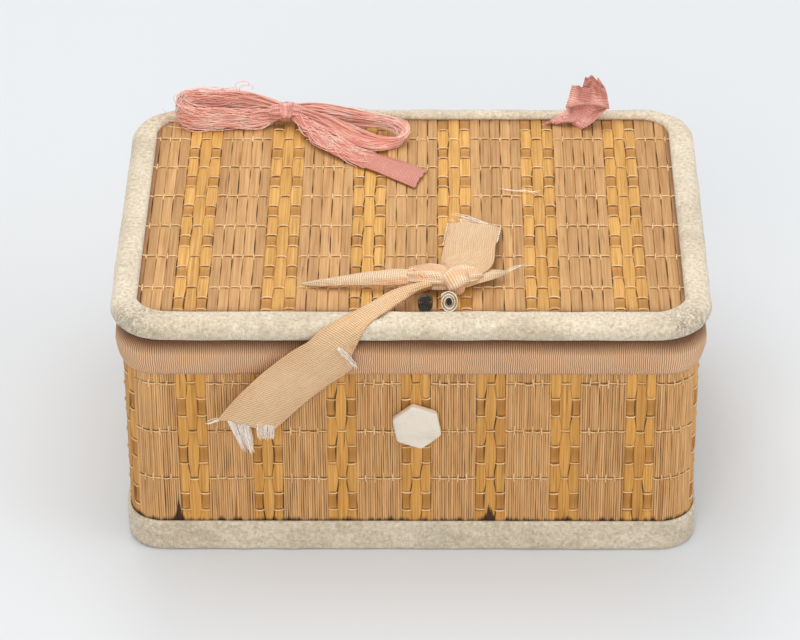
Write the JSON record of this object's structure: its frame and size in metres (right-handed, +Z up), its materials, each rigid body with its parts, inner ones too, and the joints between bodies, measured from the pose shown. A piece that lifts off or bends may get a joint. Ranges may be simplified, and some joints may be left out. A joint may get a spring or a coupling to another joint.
{
  "type": "sewing box with trays",
  "caption": "Low rectangular sewing box of straw matting over card, with cream binding, a padded rim, a ribbon-hinged lid, a pearl button and lift-out trays.",
  "frame": {"origin": "middle of the foot, on the table", "axes": "+Z up, +X along the box's width to the right, -Y to the front with the button"},
  "size_m": [0.166, 0.1201, 0.0895],
  "materials": {
    "straw": "split straw, satin",
    "kid": "soft suede, soiled",
    "pasteboard": "raw grey-brown card",
    "lining_paper": "plain pale paper",
    "rim_silk": "ribbed silk over padding",
    "pad_silk": "plain silk over wadding",
    "pink_ribbon": "worn silk ribbon",
    "peach_ribbon": "ribbed silk ribbon",
    "pearl": "polished shell",
    "thread": "cotton thread",
    "tray_card": "paper-covered card",
    "tray_silk": "plain silk panel"
  },
  "bodies": {
    "box": {"base_cover": "lining_paper", "base_board": "pasteboard", "base_binding": "kid", "wall_board": "pasteboard", "wall_mat": "straw", "wall_lining": "lining_paper", "rim_roll": "rim_silk", "tray_ledges": "tray_card", "floor_pad": "pad_silk", "front_button": "pearl", "button_thread": "thread", "left_hinge_turn": "pink_ribbon", "right_hinge_turn": "pink_ribbon"},
    "lid": {"lid_board": "pasteboard", "lid_mat": "straw", "lid_binding": "kid", "lid_lining": "lining_paper", "lid_pad": "pad_silk", "left_bow_legs": "pink_ribbon", "left_bow_knot": "pink_ribbon", "left_bow_left_loop": "pink_ribbon", "left_bow_right_loop": "pink_ribbon", "left_bow_tail": "pink_ribbon", "right_stub_legs": "pink_ribbon", "right_stub_fold": "pink_ribbon", "right_stub_end": "pink_ribbon", "tie_legs": "peach_ribbon", "tie_knot": "peach_ribbon", "tie_rear_tail": "peach_ribbon", "tie_left_tail": "peach_ribbon", "tie_right_end": "peach_ribbon", "tie_front_tail": "peach_ribbon", "tube_ends": "pearl"},
    "left_tray": {"left_tray_floor": "tray_card", "left_tray_long_sides": "tray_card", "left_tray_ends": "tray_card", "left_tray_dividers": "tray_card", "left_tray_silk": "tray_silk", "left_tray_tabs": "pink_ribbon"},
    "right_tray": {"right_tray_floor": "tray_card", "right_tray_long_sides": "tray_card", "right_tray_ends": "tray_card", "right_tray_dividers": "tray_card", "right_tray_silk": "tray_silk", "right_tray_tabs": "pink_ribbon"}
  },
  "joints": [
    {"name": "lid_hinge", "type": "hinge", "parent": "box", "child": "lid", "pos_m": [0, 0.0547, 0.0675], "axis": [-1, 0, 0], "range_deg": [0, 92]},
    {"name": "left_tray_lift", "type": "slide", "parent": "box", "child": "left_tray", "axis": [0, 0, 1], "range_m": [0, 0.0275]},
    {"name": "right_tray_lift", "type": "slide", "parent": "box", "child": "right_tray", "axis": [0, 0, 1], "range_m": [0, 0.0275]}
  ],
  "couplings": [
    {"joint": "left_tray_lift", "follows": "lid_hinge", "m_per_rad": 0.017126},
    {"joint": "right_tray_lift", "follows": "lid_hinge", "m_per_rad": 0.017126}
  ]
}
